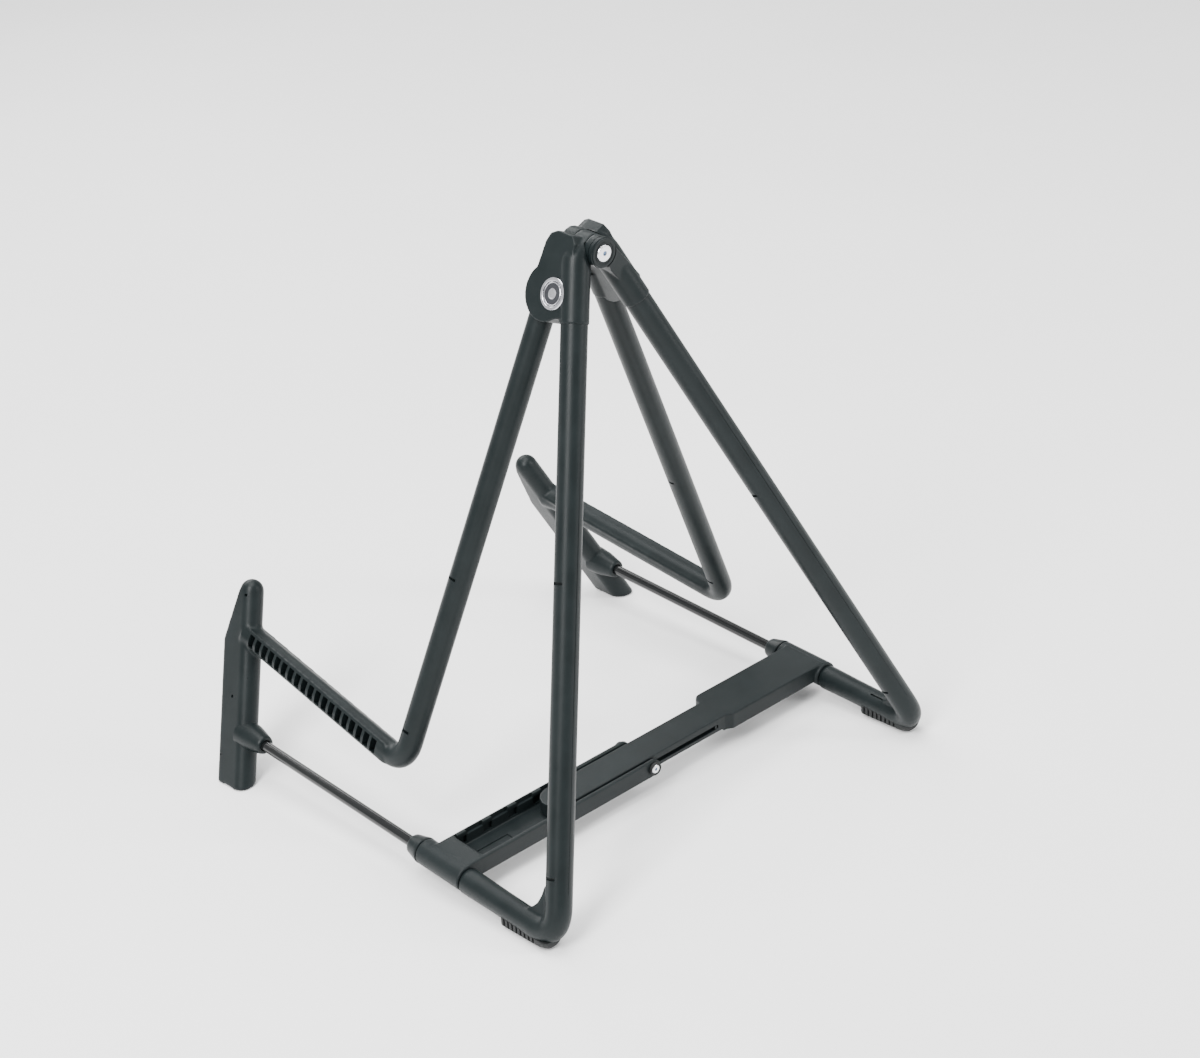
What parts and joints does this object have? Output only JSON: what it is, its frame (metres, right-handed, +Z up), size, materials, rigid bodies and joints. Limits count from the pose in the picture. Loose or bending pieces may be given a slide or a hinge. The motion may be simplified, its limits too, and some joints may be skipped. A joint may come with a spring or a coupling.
{
  "type": "instrument stand",
  "caption": "Folding A-frame floor stand for a French horn: two leaning side frames with ribbed rest bars and finned uprights, an apex hinge and a two-piece strut with a knee.",
  "frame": {"origin": "on the floor under the middle of the stand's bounding box", "axes": "+X from the left side frame to the right one, along the strut; +Y from the front feet to the finned uprights; +Z up"},
  "size_m": [0.3336, 0.3236, 0.3497],
  "materials": {
    "dark_plastic": "satin, fine grain",
    "strut_plastic": "satin, fine grain",
    "black_rod": "gloss",
    "foot_rubber": "matt, ribbed",
    "zinc_screw": "bright zinc",
    "badge_metal": "polished with a dark ring"
  },
  "bodies": {
    "left_frame": {"left_rail": "dark_plastic", "left_head": "dark_plastic", "left_arm": "dark_plastic", "left_rod": "black_rod", "left_bar_cap": "dark_plastic", "left_foot_pad": "foot_rubber", "left_badge": "badge_metal", "apex_screw": "zinc_screw"},
    "right_frame": {"right_rail": "dark_plastic", "right_head": "dark_plastic", "right_arm": "dark_plastic", "right_rod": "black_rod", "right_bar_cap": "dark_plastic", "right_foot_pad": "foot_rubber", "right_badge": "badge_metal"},
    "strut_channel": {"strut_channel": "strut_plastic", "knee_screw_front": "zinc_screw", "knee_screw_rear": "zinc_screw"},
    "strut_slider": {"strut_slider": "strut_plastic"}
  },
  "joints": [
    {"name": "apex_fold", "type": "hinge", "parent": "left_frame", "child": "right_frame", "pos_m": [0, -0.05969, 0.34064], "axis": [0, 0.9978, 0.0663], "range_deg": [0, 42]},
    {"name": "channel_fold", "type": "hinge", "parent": "left_frame", "child": "strut_channel", "pos_m": [-0.146, -0.06812, 0.01486], "axis": [0, -0.9978, -0.0663], "range_deg": [0, 65.7]},
    {"name": "slider_fold", "type": "hinge", "parent": "right_frame", "child": "strut_slider", "pos_m": [0.146, -0.06812, 0.01486], "axis": [0, 0.9978, 0.0663], "range_deg": [0, 54.4]}
  ],
  "couplings": [
    {"joint": "channel_fold", "follows": "apex_fold", "ratio": 1.5621},
    {"joint": "slider_fold", "follows": "apex_fold", "ratio": 1.2924}
  ]
}
